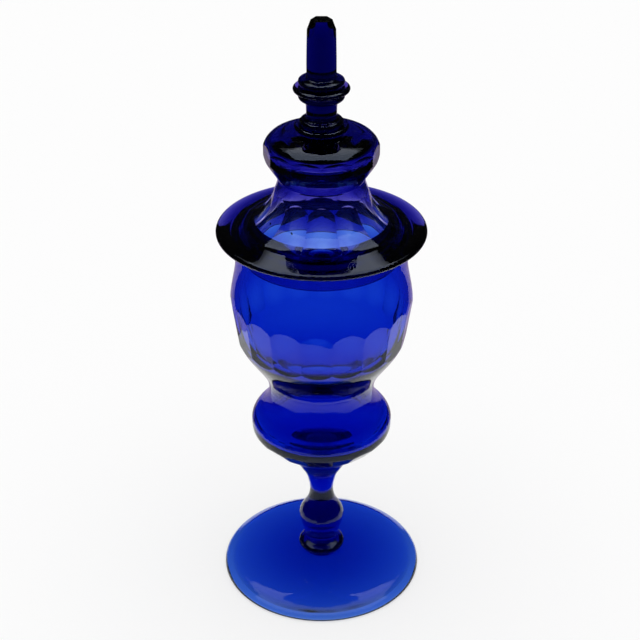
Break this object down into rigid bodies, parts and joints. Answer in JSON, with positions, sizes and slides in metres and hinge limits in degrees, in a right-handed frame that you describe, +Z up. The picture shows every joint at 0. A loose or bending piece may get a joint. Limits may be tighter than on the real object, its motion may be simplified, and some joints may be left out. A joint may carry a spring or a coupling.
{
  "type": "covered glass apothecary jar",
  "caption": "Tall covered jar of cut cobalt glass on a stem and round foot, with a brimmed lift-off lid and a stepped spire finial.",
  "frame": {"origin": "centre of the standing face under the foot", "axes": "+Z up along the axis of the jar; -Y is the side the picture shows, and +X is to its right"},
  "size_m": [0.11, 0.11, 0.3233],
  "materials": {
    "cobalt_glass": "polished, clear glass of the jar",
    "deep_cobalt_glass": "polished, clear, deeper glass of the lid"
  },
  "bodies": {
    "jar": {"foot": "cobalt_glass", "foot_merese": "cobalt_glass", "stem": "cobalt_glass", "bowl_collar": "cobalt_glass", "bowl": "cobalt_glass"},
    "lid": {"lid_shell": "deep_cobalt_glass", "finial_button": "deep_cobalt_glass", "finial_bead": "deep_cobalt_glass", "finial_neck": "deep_cobalt_glass", "finial_lower_ring": "deep_cobalt_glass", "finial_disc": "deep_cobalt_glass", "finial_upper_ring": "deep_cobalt_glass", "spire": "deep_cobalt_glass"}
  },
  "joints": [
    {"name": "lid_lift", "type": "slide", "parent": "jar", "child": "lid", "axis": [0, 0, 1], "range_m": [0, 0.08]}
  ]
}
